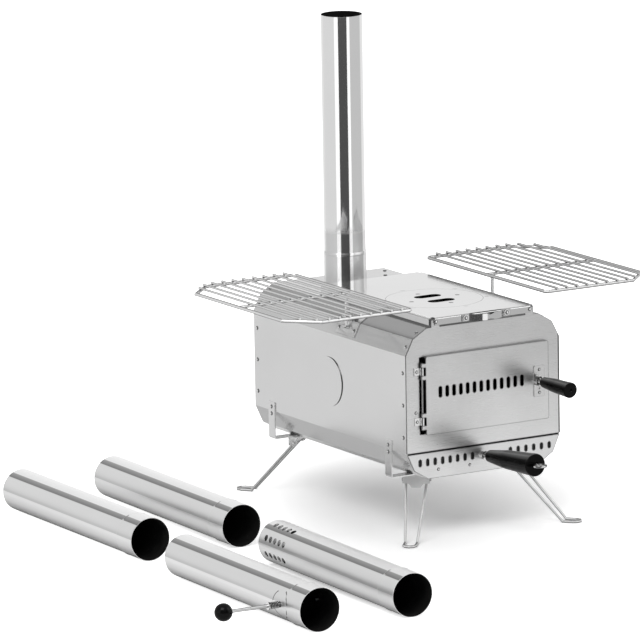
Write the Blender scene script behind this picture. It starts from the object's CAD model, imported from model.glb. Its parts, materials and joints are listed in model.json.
"""Looks of the tent wood stove and its flue kit: steel finishes, black grips, studio and camera."""

import json
import math

import bpy
from mathutils import Matrix, Vector


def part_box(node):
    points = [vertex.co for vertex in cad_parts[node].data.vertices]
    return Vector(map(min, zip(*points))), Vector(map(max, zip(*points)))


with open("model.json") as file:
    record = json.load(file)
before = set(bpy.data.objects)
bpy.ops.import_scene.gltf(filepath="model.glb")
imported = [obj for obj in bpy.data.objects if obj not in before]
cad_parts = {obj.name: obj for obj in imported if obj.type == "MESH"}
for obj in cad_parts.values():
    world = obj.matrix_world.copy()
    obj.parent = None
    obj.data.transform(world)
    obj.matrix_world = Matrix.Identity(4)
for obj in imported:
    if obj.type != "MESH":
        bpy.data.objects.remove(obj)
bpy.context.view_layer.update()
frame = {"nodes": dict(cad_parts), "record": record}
NODES = frame["nodes"]

# The stove's own origin in the row frame: middle of its front plate, on the ground
plate_low, plate_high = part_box("front_plate")
STOVE = Vector(((plate_low.x + plate_high.x) / 2, plate_low.y, 0))
UP = Vector((0, 0, 1))

# Camera, in the stove's own frame
IMAGE_PX = 640
SENSOR_MM = 36
FOCAL_PX = 8332.37
CAMERA_AT = Vector((-6.11658, -9.71195, 2.60016))
CAMERA_TURN = math.radians(31.064)
CAMERA_DOWN = math.radians(11.293)
CAMERA_ROLL = math.radians(-0.933)
# Level direction to the right of the picture
RIGHTWARDS = Vector((math.cos(CAMERA_TURN), -math.sin(CAMERA_TURN), 0))


# Node helpers

def new_material(name):
    """Empty node material and its shader, already joined to the output."""
    mat = bpy.data.materials.new(name)
    mat.use_nodes = True
    tree = mat.node_tree
    tree.nodes.clear()
    out = tree.nodes.new("ShaderNodeOutputMaterial")
    shader = tree.nodes.new("ShaderNodeBsdfPrincipled")
    tree.links.new(shader.outputs[0], out.inputs["Surface"])
    return mat, tree, shader


def painted(mat):
    """Node tree of a finished material, its shader and what feeds its base colour."""
    shader = mat.node_tree.nodes["Principled BSDF"]
    return mat.node_tree, shader, shader.inputs["Base Color"].links[0].from_socket


def feed(tree, socket, value):
    """Link a socket to another's output, or set it to a plain value."""
    if isinstance(value, bpy.types.NodeSocket):
        tree.links.new(value, socket)
    else:
        socket.default_value = value


def maths(tree, operation, *values):
    """Result of one calculation on numbers or sockets."""
    node = tree.nodes.new("ShaderNodeMath")
    node.operation = operation
    for socket, value in zip(node.inputs, values):
        feed(tree, socket, value)
    return node.outputs[0]


def vectors(tree, operation, *values):
    """Result of one calculation on vectors: a number for a dot product, a distance or a length."""
    node = tree.nodes.new("ShaderNodeVectorMath")
    node.operation = operation
    for socket, value in zip(node.inputs, values):
        feed(tree, socket, value)
    is_number = operation in ("DOT_PRODUCT", "DISTANCE", "LENGTH")
    return node.outputs["Value" if is_number else "Vector"]


def surface(tree, what):
    """Place ("Object") or direction ("Normal") of the shaded surface, in its object's own space."""
    return tree.nodes.new("ShaderNodeTexCoord").outputs[what]


def split(tree, vector):
    """The X, Y and Z of a vector."""
    node = tree.nodes.new("ShaderNodeSeparateXYZ")
    tree.links.new(vector, node.inputs[0])
    return node.outputs


def mapped(tree, value, start, end, first, last, kind="LINEAR"):
    """Number that goes from first to last as the value goes from start to end."""
    node = tree.nodes.new("ShaderNodeMapRange")
    node.interpolation_type = kind
    node.inputs["From Min"].default_value = start
    node.inputs["From Max"].default_value = end
    node.inputs["To Min"].default_value = first
    node.inputs["To Max"].default_value = last
    tree.links.new(value, node.inputs["Value"])
    return node.outputs["Result"]


def noise(tree, scale, detail=3):
    """Noise in 0 to 1 over object coordinates, scaled by three factors per metre."""
    mapping = tree.nodes.new("ShaderNodeMapping")
    mapping.inputs["Scale"].default_value = scale
    tree.links.new(surface(tree, "Object"), mapping.inputs["Vector"])
    tex = tree.nodes.new("ShaderNodeTexNoise")
    tex.inputs["Scale"].default_value = 1
    tex.inputs["Detail"].default_value = detail
    tree.links.new(mapping.outputs["Vector"], tex.inputs["Vector"])
    return tex.outputs["Fac"]


def grey(level):
    """Linear grey."""
    return (level, level, level)


def ramp(tree, value, low, high, at=(0.3, 0.7)):
    """Colour that goes from low to high as the value goes through the two places."""
    node = tree.nodes.new("ShaderNodeValToRGB")
    for element, place, colour in zip(node.color_ramp.elements, at, (low, high)):
        element.position = place
        element.color = (*colour, 1)
    tree.links.new(value, node.inputs["Fac"])
    return node.outputs["Color"]


def toned(tree, value, stops, start, end):
    """Grey that follows the stops, pairs of a value and a level, over values from start to end."""
    node = tree.nodes.new("ShaderNodeValToRGB")
    elements = node.color_ramp.elements
    while len(elements) < len(stops):
        elements.new(0.5)
    for element, (place, level) in zip(elements, stops):
        element.position = (place - start) / (end - start)
        element.color = (*grey(level), 1)
    tree.links.new(mapped(tree, value, start, end, 0, 1), node.inputs["Fac"])
    return node.outputs["Color"]


def times(tree, colour, tone):
    """Product of two colours."""
    return vectors(tree, "MULTIPLY", colour, tone)


def by_normal(tree, colour, axis, stops):
    """Colour times a grey that depends on one component of the object normal."""
    return times(tree, colour, toned(tree, split(tree, surface(tree, "Normal"))[axis], stops, -1, 1))


def by_place(tree, colour, axis, stops):
    """Colour times a grey that depends on one object coordinate, in metres."""
    value = split(tree, surface(tree, "Object"))[axis]
    return times(tree, colour, toned(tree, value, stops, stops[0][0], stops[-1][0]))


def band(tree, value, start, end, dark):
    """White, but the given grey where the value lies between the two numbers."""
    over = maths(tree, "GREATER_THAN", value, start)
    under = maths(tree, "LESS_THAN", value, end)
    return ramp(tree, maths(tree, "MULTIPLY", over, under), grey(1), grey(dark), (0, 1))


def bump(tree, shader, value, distance):
    """Bump of the given height in metres."""
    node = tree.nodes.new("ShaderNodeBump")
    node.inputs["Strength"].default_value = 1
    node.inputs["Distance"].default_value = distance
    tree.links.new(value, node.inputs["Height"])
    tree.links.new(node.outputs["Normal"], shader.inputs["Normal"])


# How finely sharp edges are looked for, and the cosines at which an edge line is full and gone
EDGE_SAMPLES = 6
EDGE_TURN = (0.8, 0.99)


def edge_lines(tree, colour, width, dark):
    """Colour with a darker line of the given width, in metres, along sharp edges."""
    rounded = tree.nodes.new("ShaderNodeBevel")
    rounded.samples = EDGE_SAMPLES
    rounded.inputs["Radius"].default_value = width
    flat = tree.nodes.new("ShaderNodeNewGeometry")
    alike = vectors(tree, "DOT_PRODUCT", rounded.outputs["Normal"], flat.outputs["Normal"])
    return times(tree, colour, ramp(tree, alike, grey(dark), grey(1), EDGE_TURN))


# Finishes

# Clouds and waves per metre of any steel, as sheet is never quite even or flat
CLOUDS = (9, 9, 9)
WAVES = (7, 7, 7)


def steel(name, level, rough, spread, grain, grain_depth, wave_depth, cloud,
          tones=(), edges=None, heights=()):
    """Steel sheet or wire: soft clouds in its tone, grain along the finish, and slight waves."""
    mat, tree, shader = new_material(name)
    shader.inputs["Metallic"].default_value = 1
    colour = ramp(tree, noise(tree, CLOUDS, 4), grey(level - cloud), grey(level + cloud), (0.25, 0.75))
    for axis, stops in tones:
        colour = by_normal(tree, colour, axis, stops)
    if heights:
        colour = by_place(tree, colour, "Z", heights)
    if edges:
        colour = edge_lines(tree, colour, *edges)
    tree.links.new(colour, shader.inputs["Base Color"])
    lines = noise(tree, grain, 2)
    roughness = mapped(tree, lines, 0.25, 0.75, rough - spread, rough + spread)
    tree.links.new(roughness, shader.inputs["Roughness"])
    height = maths(tree, "MULTIPLY_ADD", noise(tree, WAVES, 1), wave_depth / grain_depth, lines)
    bump(tree, shader, height, grain_depth)
    return mat


# Small worked pieces: roughness, tone of turned faces, cosines where that begins and ends, edge line
RIM_ROUGH = 0.2
RIM_DARK = 0.12
RIM_TURN = (0.86, 0.97)
RIM_EDGES = (0.0009, 0.3)


def rimmed(name, level):
    """Rivets, bolts and small plates, darker where a face is turned off the three main directions."""
    mat, tree, shader = new_material(name)
    shader.inputs["Metallic"].default_value = 1
    shader.inputs["Roughness"].default_value = RIM_ROUGH
    size = split(tree, vectors(tree, "ABSOLUTE", surface(tree, "Normal")))
    most = maths(tree, "MAXIMUM", maths(tree, "MAXIMUM", size["X"], size["Y"]), size["Z"])
    tone = ramp(tree, most, grey(RIM_DARK), grey(level), RIM_TURN)
    tree.links.new(edge_lines(tree, tone, *RIM_EDGES), shader.inputs["Base Color"])
    return mat


# Skin of moulded black: roughness, highlight, and the thin gloss over it
BLACK_SKIN = {"Roughness": 0.2, "Specular IOR Level": 0.05, "Coat Weight": 0.1, "Coat Roughness": 0.04}
MOULD_CLOUDS = (60, 60, 60)
MOULD_GRAIN = (900, 900, 900)
MOULD_DEPTH = 0.00002


def gloss_black(name, low, high, streak=()):
    """Moulded black between two levels, with a paler streak by the height of the normal if one is given."""
    mat, tree, shader = new_material(name)
    for socket, value in BLACK_SKIN.items():
        shader.inputs[socket].default_value = value
    shade = ramp(tree, noise(tree, MOULD_CLOUDS), grey(low), grey(high))
    if streak:
        shade = by_normal(tree, shade, "Z", streak)
    tree.links.new(shade, shader.inputs["Base Color"])
    bump(tree, shader, noise(tree, MOULD_GRAIN, 1), MOULD_DEPTH)
    return mat


# Soot: its dull skin, its clouds and tones, and how far a face has to point inwards to have it
SOOT_SKIN = {"Roughness": 0.9, "Specular IOR Level": 0.15}
SOOT_CLOUDS = (70, 70, 70)
SOOT_DARK = (0.002, 0.002, 0.002)
SOOT_PALE = (0.008, 0.0078, 0.0075)
SOOT_INWARDS = -0.005


def sooted(outer, name, centre, axis):
    """The outer steel, with soot on the faces whose normals point towards the pipe's axis."""
    mat = outer.copy()
    mat.name = name
    tree = mat.node_tree
    out_from = vectors(tree, "SUBTRACT", surface(tree, "Object"), centre)
    radial = vectors(tree, "SUBTRACT", out_from, vectors(tree, "PROJECT", out_from, axis))
    facing = vectors(tree, "DOT_PRODUCT", surface(tree, "Normal"), radial)
    soot = tree.nodes.new("ShaderNodeBsdfPrincipled")
    for socket, value in SOOT_SKIN.items():
        soot.inputs[socket].default_value = value
    shade = ramp(tree, noise(tree, SOOT_CLOUDS, 4), SOOT_DARK, SOOT_PALE)
    tree.links.new(shade, soot.inputs["Base Color"])
    both = tree.nodes.new("ShaderNodeMixShader")
    tree.links.new(maths(tree, "LESS_THAN", facing, SOOT_INWARDS), both.inputs["Fac"])
    tree.links.new(tree.nodes["Principled BSDF"].outputs[0], both.inputs[1])
    tree.links.new(soot.outputs[0], both.inputs[2])
    tree.links.new(both.outputs[0], tree.nodes["Material Output"].inputs["Surface"])
    return mat


def ringed(mat, centres, inner, outer, dark):
    """Thin dark rings round the given points, from the inner to the outer radius in metres."""
    tree, shader, colour = painted(mat)
    for centre in centres:
        apart = vectors(tree, "DISTANCE", surface(tree, "Object"), centre)
        colour = times(tree, colour, band(tree, apart, inner, outer, dark))
    tree.links.new(colour, shader.inputs["Base Color"])


def right_edge(mat, start, dark):
    """Dark line down the right edge of a sheet, from the given place across to its end."""
    tree, shader, colour = painted(mat)
    across = split(tree, surface(tree, "Object"))["X"]
    colour = times(tree, colour, band(tree, across, start, start + 1, dark))
    tree.links.new(colour, shader.inputs["Base Color"])


# Circle printed round the damper's rod: radius and line in metres, arcs in degrees from the mouth's side
DIAL_R = 0.0195
DIAL_LINE = 0.0015
DIAL_DARK = 0.18
DIAL_ARCS = ((-70, -25), (5, 55), (112, 175), (-165, -110))
# Dark hole that the rod goes through
DIAL_HOLE = 0.0042
DIAL_HOLE_DARK = 0.03


def dial(mat, centre, axis):
    """Broken circle round a rod on the side that faces along the axis, with a dark hole at the rod."""
    tree, shader, colour = painted(mat)
    offset = vectors(tree, "SUBTRACT", surface(tree, "Object"), centre)
    ways = (axis.cross(UP), UP, axis)
    across, high, outwards = [vectors(tree, "DOT_PRODUCT", offset, way) for way in ways]
    flat = tree.nodes.new("ShaderNodeCombineXYZ")
    tree.links.new(across, flat.inputs[0])
    tree.links.new(high, flat.inputs[1])
    far = vectors(tree, "LENGTH", flat.outputs[0])
    turn = maths(tree, "ARCTAN2", high, across)
    printed = 0
    for start, end in DIAL_ARCS:
        middle = math.radians((start + end) / 2)
        arc = maths(tree, "COMPARE", turn, middle, math.radians((end - start) / 2))
        printed = maths(tree, "MAXIMUM", printed, arc)
    circle = maths(tree, "COMPARE", far, DIAL_R, DIAL_LINE / 2)
    for mask in (circle, maths(tree, "GREATER_THAN", outwards, 0)):
        printed = maths(tree, "MULTIPLY", printed, mask)
    colour = times(tree, colour, ramp(tree, printed, grey(1), grey(DIAL_DARK), (0, 1)))
    colour = times(tree, colour, band(tree, far, -1, DIAL_HOLE, DIAL_HOLE_DARK))
    tree.links.new(colour, shader.inputs["Base Color"])


# Foot of the standing pipe: how high its bands reach, over what length they fade, and their roughness
DECK_REACH = 0.385
DECK_FADE = 0.01
DECK_ROUGH = 0.4
# Tones of those bands from the pipe's left to its right, in degrees
DECK_BANDS = (
    (-90, 0.8), (-66, 0.8), (-64, 0.62), (-23, 0.62), (-21, 1), (-12, 1), (-10, 0.1),
    (12, 0.1), (14, 1), (21, 1), (23, 0.55), (58, 0.5), (60, 0.85), (90, 0.7),
)


def deck_bands(mat, direction):
    """Bands by the normal's turn towards one side, on the foot of a standing pipe."""
    tree, shader, _ = painted(mat)
    turn = vectors(tree, "DOT_PRODUCT", surface(tree, "Normal"), direction)
    bands = [(math.sin(math.radians(degrees)), level) for degrees, level in DECK_BANDS]
    height = split(tree, surface(tree, "Object"))["Z"]
    low = mapped(tree, height, DECK_REACH - DECK_FADE, DECK_REACH, 1, 0)
    on_bands = {"Base Color": toned(tree, turn, bands, -1, 1), "Roughness": (*grey(DECK_ROUGH), 1)}
    for socket, value in on_bands.items():
        mix = tree.nodes.new("ShaderNodeMix")
        mix.data_type = "RGBA"
        tree.links.new(low, mix.inputs["Factor"])
        tree.links.new(shader.inputs[socket].links[0].from_socket, mix.inputs["A"])
        feed(tree, mix.inputs["B"], value)
        tree.links.new(mix.outputs["Result"], shader.inputs[socket])


# Light that many bounces bring into the gap under the cooking top, how far below the top's lowest
# point it still falls, and how level a face has to be to get it
UNDER_LIGHT = 0.1
UNDER_REACH = 0.01
UNDER_LEVEL = 0.95


def lit_under(mat, low_z, rear_y):
    """Faint light on level faces above one height and in front of one depth, as in a narrow gap."""
    tree, shader, _ = painted(mat)
    at = split(tree, surface(tree, "Object"))
    above = maths(tree, "GREATER_THAN", at["Z"], low_z)
    ahead = maths(tree, "LESS_THAN", at["Y"], rear_y)
    is_level = maths(tree, "GREATER_THAN", split(tree, surface(tree, "Normal"))["Z"], UNDER_LEVEL)
    strength = UNDER_LIGHT
    for mask in (above, ahead, is_level):
        strength = maths(tree, "MULTIPLY", mask, strength)
    shader.inputs["Emission Color"].default_value = (1, 1, 1, 1)
    tree.links.new(strength, shader.inputs["Emission Strength"])


# Tone of the folded facets against the upright side panels, by the height of the normal
FOLDS = ("Z", (
    (-0.95, 0.8), (-0.8, 0.72), (-0.42, 0.72), (-0.2, 1),
    (0.25, 1), (0.46, 0.84), (0.6, 0.7), (0.86, 0.5), (0.93, 1),
))
# Cut edges of the front sheets, all round their flat faces
EDGES = ("Y", ((-0.9, 1), (-0.6, 0.22), (0.6, 0.22), (0.9, 1)))
# Rim of the round plate on the side, which faces left
DISC_RIM = ("X", ((-0.9, 1), (-0.6, 0.12)))
# The front is a little darker towards its top, by height above the ground
FRONT_HEIGHTS = ((0.08, 1.15), (0.15, 1.12), (0.22, 0.98), (0.28, 0.93), (0.32, 0.93))
# Flanges and bends of the cooking top against its flat face
FLANGES = ("Z", ((-0.9, 0.9), (-0.5, 0.66), (0.15, 0.66), (0.4, 0.68), (0.92, 0.78), (0.985, 1)))
# Bright middle of the lying wires between darker upper and under sides, near the camera and further off
ROUND_WIRE = ("Z", ((-0.9, 0.12), (-0.55, 0.35), (-0.2, 0.8), (0.6, 0.8), (0.8, 0.5), (0.95, 0.25)))
FAR_WIRE = ("Z", ((-0.9, 0.12), (-0.5, 0.3), (-0.1, 0.62), (0.55, 0.62), (0.8, 0.4), (0.95, 0.25)))
# Loose pipes, as the studio's screens show in them: a dark stripe near the top and a step at mid height
LAID = ("Z", (
    (-1, 0.25), (-0.87, 0.28), (-0.77, 0.32), (-0.64, 0.4), (-0.5, 0.53), (-0.34, 0.71), (-0.17, 0.8),
    (-0.02, 0.865), (0.08, 0.85), (0.1, 0.575), (0.17, 0.6), (0.26, 0.685), (0.36, 0.73), (0.66, 0.8),
    (0.728, 0.78), (0.742, 0.23), (0.8, 0.28), (0.87, 0.37), (0.885, 0.42), (0.9, 0.94), (1, 1),
))
# Window's streak along the upper side of a black grip
STREAK = ((-1, 0.01), (0.5, 0.01), (0.72, 0.5), (0.84, 1), (0.93, 0.35), (1, 0.1))

# Settings that several steels share: grain is per metre, depths are in metres, edges are width and tone
TOP_SHEET = {
    "level": 0.93, "rough": 0.1, "spread": 0.03, "grain": (400, 6, 400), "grain_depth": 5e-7,
    "wave_depth": 2e-5, "cloud": 0.02, "tones": [FLANGES], "edges": (0.0015, 0.75),
}
SMALL_SHEET = {
    "rough": 0.15, "spread": 0.02, "grain": (300, 300, 300), "grain_depth": 5e-7, "wave_depth": 1e-5,
    "cloud": 0.015,
}
SMALL_ROD = {
    "rough": 0.3, "spread": 0.03, "grain": (300, 300, 300), "grain_depth": 5e-7, "wave_depth": 1e-6,
    "cloud": 0.02,
}
WIRE = {
    "level": 0.96, "rough": 0.45, "spread": 0.05, "grain": (200, 200, 200), "grain_depth": 2e-6,
    "wave_depth": 1e-6, "cloud": 0.03,
}
PIPE = {"spread": 0.02, "grain": (900, 900, 30), "grain_depth": 1e-6, "wave_depth": 1e-5, "cloud": 0.015}
MATERIALS = {
    "shell_sheet": steel(
        "satin steel", level=0.75, rough=0.17, spread=0.01, grain=(4, 300, 300), grain_depth=5e-7,
        wave_depth=1.5e-5, cloud=0.015, tones=[FOLDS]),
    "front_sheet": steel(
        "brushed steel", level=0.64, rough=0.3, spread=0.05, grain=(30, 30, 2200), grain_depth=2e-6,
        wave_depth=3e-5, cloud=0.05, tones=[EDGES], edges=(0.0024, 0.15), heights=FRONT_HEIGHTS),
    "top_sheet": steel("bright sheet", **TOP_SHEET),
    "firebox_inner": steel(
        "dark steel", level=0.03, rough=0.45, spread=0.08, grain=(60, 60, 60), grain_depth=1e-5,
        wave_depth=1e-5, cloud=0.02),
    "fasteners": rimmed("plain steel", 0.8),
    "wire": steel("bright wire", tones=[ROUND_WIRE], **WIRE),
    "pipe": steel("polished pipe", level=0.74, rough=0.07, **PIPE),
    "grip": gloss_black("black grip", 0.11, 0.15, STREAK),
}
LAID_PIPE = steel("laid pipe", level=0.985, rough=0.36, tones=[LAID], **PIPE)

# Nodes whose finish differs a little from the rest of their slot
OWN = {
    "hot_plate": steel("plate sheet", **TOP_SHEET),
    "front_plate": MATERIALS["front_sheet"].copy(),
    "side_disc": steel("disc sheet", level=0.75, tones=[DISC_RIM], **SMALL_SHEET),
    "latch_plate": rimmed("latch steel", 0.62),
    "shield_studs": steel("stud steel", level=0.3, **SMALL_ROD),
    "hinge_pin": steel("pin steel", level=0.3, **SMALL_ROD),
    "damper_rod": steel("rod steel", level=0.9, tones=[ROUND_WIRE], **SMALL_ROD),
    "damper_ball": gloss_black("ball", 0.001, 0.004),
    "damper_plate": steel(
        "sooty plate", level=0.006, rough=0.6, spread=0.05, grain=(60, 60, 60), grain_depth=1e-6,
        wave_depth=1e-6, cloud=0.002),
}
bracket_steel = steel("bracket sheet", level=0.68, edges=(0.001, 0.4), **SMALL_SHEET)
for side in ("left", "right"):
    OWN[f"shelf_bracket_{side}"] = bracket_steel
far_wire = steel("far wire", tones=[FAR_WIRE], **WIRE)
OWN["shelf_right"] = far_wire
for leg in ("front_left", "front_right", "rear_left", "rear_right"):
    OWN[f"wire_leg_{leg}"] = far_wire


# Finishes put on the nodes

def centre_of(node):
    """Middle of the node's box."""
    box_low, box_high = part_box(node)
    return (box_low + box_high) / 2


deck_low, deck_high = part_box("cooking_top")
lit_under(MATERIALS["shell_sheet"], deck_low.z - UNDER_REACH, deck_high.y)

# The front plate's right edge turns away from the light
EDGE_WIDE = 0.0025
EDGE_DARK = 0.22
right_edge(OWN["front_plate"], plate_high.x - EDGE_WIDE, EDGE_DARK)

# Four studs of the hot plate on their circle, and the joint line seen round each
STUD_CIRCLE = 0.04
STUD_TURN = math.radians(4)
STUD_RING = (0.0019, 0.0034)
STUD_DARK = 0.2
plate_top = centre_of("hot_plate")
plate_top.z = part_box("hot_plate")[1].z
studs = []
for quarter in range(4):
    angle = STUD_TURN + quarter * math.pi / 2
    studs.append(plate_top + Vector((math.cos(angle), math.sin(angle), 0)) * STUD_CIRCLE)
for node in ("hot_plate", "shield_studs"):
    ringed(OWN[node], studs, *STUD_RING, STUD_DARK)

# Mount that gives each pipe's axis
PIPE_MOUNTS = {
    "flue_section_standing": "flue_top",
    "flue_section_near": "near_socket",
    "flue_section_far": "far_socket",
    "damper_section": "damper_socket",
    "spark_section": "spark_socket",
}
axis_of = {mount["name"]: Vector(mount["axis"]) for mount in frame["record"]["mounts"]}
slot_of = {part["node"]: part["material_slot"] for part in frame["record"]["subparts"]}


def pipe_finish(node):
    """Finish of one flue section: soot inside, and outside what only the standing or damper one has."""
    is_standing = node == "flue_section_standing"
    outer = MATERIALS["pipe"] if is_standing else LAID_PIPE
    mat = sooted(outer, node, centre_of(node), axis_of[PIPE_MOUNTS[node]])
    if is_standing:
        deck_bands(mat, RIGHTWARDS)
    if node == "damper_section":
        rod = centre_of("damper_ball") - centre_of("damper_plate")
        dial(mat, centre_of("damper_plate"), rod.normalized())
    return mat


for node, obj in NODES.items():
    if node in PIPE_MOUNTS:
        finish = pipe_finish(node)
    else:
        finish = OWN.get(node, MATERIALS[slot_of[node]])
    if not obj.material_slots:
        obj.data.materials.append(finish)
    for slot in obj.material_slots:
        slot.material = finish


# Studio

def add_mesh(name, points, faces, mat):
    """Mesh object in the scene's collection."""
    mesh = bpy.data.meshes.new(name)
    mesh.from_pydata(points, [], faces)
    mesh.materials.append(mat)
    obj = bpy.data.objects.new(name, mesh)
    bpy.context.collection.objects.link(obj)
    return obj


FLOOR_HALF = 14
FLOOR_GREY = 0.97
# Darkest place of the floor in the stove's own frame, and the oval round it in which the floor gets
# paler: half its width and depth in metres, and its even middle as a share of them
FLOOR_DARKEST = (-0.03, 0.14, 0)
FLOOR_WIDE = 0.46
FLOOR_DEEP = 0.95
FLOOR_NEAR = 0.15
# Light that the camera sees added in that middle, and 1 outside the oval
FLOOR_TOP_UP = 0.1


def floor_material():
    """Pale floor that keeps shadows and is topped up to white where the camera sees it."""
    mat = bpy.data.materials.new("floor")
    mat.use_nodes = True
    tree = mat.node_tree
    tree.nodes.clear()
    out = tree.nodes.new("ShaderNodeOutputMaterial")
    diffuse = tree.nodes.new("ShaderNodeBsdfDiffuse")
    diffuse.inputs["Color"].default_value = (*grey(FLOOR_GREY), 1)
    glow = tree.nodes.new("ShaderNodeEmission")
    glow.inputs["Color"].default_value = (1, 1, 1, 1)
    path = tree.nodes.new("ShaderNodeLightPath")
    oval = tree.nodes.new("ShaderNodeMapping")
    oval.vector_type = "TEXTURE"
    oval.inputs["Location"].default_value = STOVE + Vector(FLOOR_DARKEST)
    oval.inputs["Rotation"].default_value = (0, 0, -CAMERA_TURN)
    oval.inputs["Scale"].default_value = (FLOOR_WIDE, FLOOR_DEEP, 1)
    tree.links.new(surface(tree, "Object"), oval.inputs["Vector"])
    from_stove = vectors(tree, "LENGTH", oval.outputs["Vector"])
    rise = mapped(tree, from_stove, FLOOR_NEAR, 1, FLOOR_TOP_UP, 1, "SMOOTHSTEP")
    level = maths(tree, "MULTIPLY", path.outputs["Is Camera Ray"], rise)
    tree.links.new(level, glow.inputs["Strength"])
    add = tree.nodes.new("ShaderNodeAddShader")
    tree.links.new(diffuse.outputs[0], add.inputs[0])
    tree.links.new(glow.outputs[0], add.inputs[1])
    tree.links.new(add.outputs[0], out.inputs["Surface"])
    return mat


floor = add_mesh(
    "studio_floor",
    [(x * FLOOR_HALF, y * FLOOR_HALF, 0) for x, y in ((-1, -1), (1, -1), (1, 1), (-1, 1))],
    [(0, 1, 2, 3)],
    floor_material(),
)

# Sky: a pale grey in reflections, white to the camera, and dimmer as the light that falls on things
SKY_GREY = 0.8
AMBIENT = 0.62
world = bpy.data.worlds.new("studio")
bpy.context.scene.world = world
world.use_nodes = True
sky = world.node_tree
sky.nodes.clear()
sky_out = sky.nodes.new("ShaderNodeOutputWorld")
sky_glow = sky.nodes.new("ShaderNodeBackground")
sky.links.new(sky_glow.outputs[0], sky_out.inputs["Surface"])
path = sky.nodes.new("ShaderNodeLightPath")
seen = maths(sky, "MAXIMUM", path.outputs["Is Camera Ray"], path.outputs["Is Glossy Ray"])
seen = maths(sky, "MAXIMUM", seen, path.outputs["Is Transmission Ray"])
brightness = mapped(sky, seen, 0, 1, AMBIENT, 1)
brightness = maths(sky, "MULTIPLY_ADD", path.outputs["Is Camera Ray"], 1 / SKY_GREY - 1, brightness)
sky_glow.inputs["Color"].default_value = (*grey(SKY_GREY), 1)
sky.links.new(brightness, sky_glow.inputs["Strength"])

# Two square lamps in the stove's own frame: place, and power in watts; both face the upper body
LAMPS = {
    "key": (Vector((-2.6, -1.8, 3.4)), 105),
    "fill": (Vector((2.8, -2.4, 2.6)), 40),
}
LAMP_SIZE = 2.6
LAMP_TARGET = Vector((0, 0.1, 0.2))


def softbox(name, at, power):
    """Large square lamp that faces the stove."""
    lamp = bpy.data.lights.new(name, "AREA")
    lamp.shape = "SQUARE"
    lamp.size = LAMP_SIZE
    lamp.energy = power
    obj = bpy.data.objects.new(name, lamp)
    obj.location = STOVE + at
    obj.rotation_euler = (LAMP_TARGET - at).to_track_quat("-Z", "Y").to_euler()
    bpy.context.collection.objects.link(obj)


for name, (at, power) in LAMPS.items():
    softbox(name, at, power)

# Screens round the standing pipe: from, to, in degrees to the right of the camera's side, and brightness
SCREENS = {
    "dark": (-21, 27, 0.1),
    "left_bright": (-43, -21, 1.4),
    "right_bright": (27, 43, 1.4),
    "left_pale": (-130, -43, 0.9),
    "right_grey": (43, 118, 0.7),
    "rear": (118, 230, 1.0),
}
SCREEN_REACH = 1.45
SCREEN_HIGH = 0.5
SCREEN_STEP = 6
PIPE_AT = centre_of("flue_section_standing")
PIPE_AT.z = 0


def unseen_card(name, points, level):
    """Card of even brightness that only reflections see, as a studio's screens are."""
    mat, _, shader = new_material(name)
    shader.inputs["Base Color"].default_value = (0, 0, 0, 1)
    shader.inputs["Roughness"].default_value = 1
    shader.inputs["Specular IOR Level"].default_value = 0
    shader.inputs["Emission Color"].default_value = (1, 1, 1, 1)
    shader.inputs["Emission Strength"].default_value = level
    half = len(points) // 2
    faces = [(i, i + 1, half + i + 1, half + i) for i in range(half - 1)]
    obj = add_mesh(name, points, faces, mat)
    for kind in ("camera", "diffuse", "transmission", "volume_scatter", "shadow"):
        setattr(obj, f"visible_{kind}", False)


def screen(name, start, end, level):
    """Arc of a low screen round the standing pipe."""
    steps = max(2, round((end - start) / SCREEN_STEP))
    ring = []
    for i in range(steps + 1):
        angle = math.radians(start + (end - start) * i / steps) - CAMERA_TURN
        ring.append(PIPE_AT + Vector((math.sin(angle), -math.cos(angle), 0)) * SCREEN_REACH)
    unseen_card(f"screen_{name}", ring + [point + UP * SCREEN_HIGH for point in ring], level)


for name, (start, end, level) in SCREENS.items():
    screen(name, start, end, level)

# Camera
scene = bpy.context.scene
lens = bpy.data.cameras.new("camera")
lens.sensor_width = SENSOR_MM
lens.lens = FOCAL_PX / IMAGE_PX * SENSOR_MM
lens.clip_start = 0.5
lens.clip_end = 60
camera = bpy.data.objects.new("camera", lens)
bpy.context.collection.objects.link(camera)
back = Vector((
    -math.sin(CAMERA_TURN) * math.cos(CAMERA_DOWN),
    -math.cos(CAMERA_TURN) * math.cos(CAMERA_DOWN),
    math.sin(CAMERA_DOWN),
))
level_right = UP.cross(back).normalized()
level_up = back.cross(level_right)
right = level_right * math.cos(CAMERA_ROLL) + level_up * math.sin(CAMERA_ROLL)
up = level_up * math.cos(CAMERA_ROLL) - level_right * math.sin(CAMERA_ROLL)
camera.matrix_world = Matrix((
    (right.x, up.x, back.x, STOVE.x + CAMERA_AT.x),
    (right.y, up.y, back.y, STOVE.y + CAMERA_AT.y),
    (right.z, up.z, back.z, CAMERA_AT.z),
    (0, 0, 0, 1),
))
scene.camera = camera
scene.view_settings.view_transform = "Standard"
